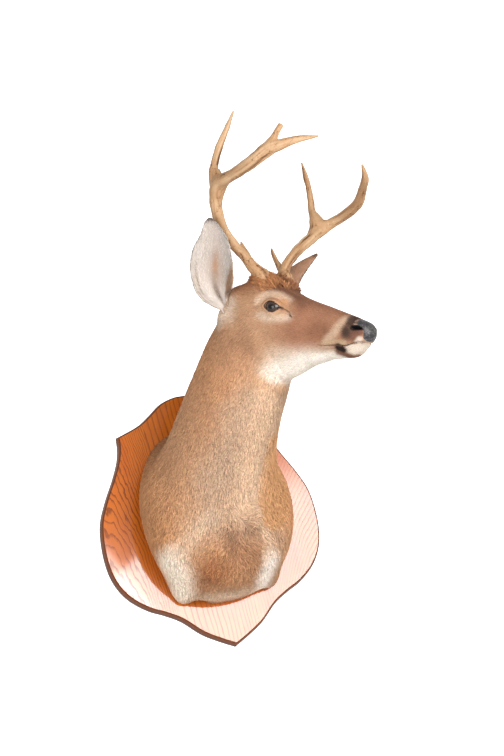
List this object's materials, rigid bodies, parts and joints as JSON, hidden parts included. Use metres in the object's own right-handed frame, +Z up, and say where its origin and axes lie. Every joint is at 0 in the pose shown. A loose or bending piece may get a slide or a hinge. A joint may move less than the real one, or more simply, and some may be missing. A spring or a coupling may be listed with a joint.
{
  "type": "deer shoulder mount",
  "caption": "White-tailed deer buck, head, neck and shoulders, turned to its left, mounted on a shield-shaped oak wall panel.",
  "frame": {"origin": "middle of the panel's flat back face, on the wall", "axes": "+Y into the wall, normal to the panel's back; +Z up; +X the deer's left; the mount stands out towards -Y"},
  "size_m": [0.5742, 0.6042, 0.9225],
  "materials": {
    "oak": "varnished red oak with straight and cathedral grain and a dark moulded edge",
    "coat": "short dense fawn-brown deer hair with cream and dark brown markings, matt",
    "nose_skin": "black pebbled nose pad with a wet sheen",
    "ear_coat": "thin fur, brown behind and white inside, with a dark rim",
    "eye_glass": "glossy dark brown glass eye",
    "antler_bone": "golden tan antler with brown-stained grooves and paler tips"
  },
  "bodies": {
    "root": {"panel": "oak", "trunk": "coat", "neck": "coat", "head": "coat", "muzzle": "coat", "nose": "nose_skin", "ear_right": "ear_coat", "ear_left": "ear_coat", "eye_right": "eye_glass", "eye_left": "eye_glass", "antler_right_lower_beam": "antler_bone", "antler_right_upper_beam": "antler_bone", "antler_right_brow_tine": "antler_bone", "antler_right_second_tine": "antler_bone", "antler_right_third_tine": "antler_bone", "antler_left_lower_beam": "antler_bone", "antler_left_upper_beam": "antler_bone", "antler_left_brow_tine": "antler_bone", "antler_left_second_tine": "antler_bone"}
  },
  "joints": []
}
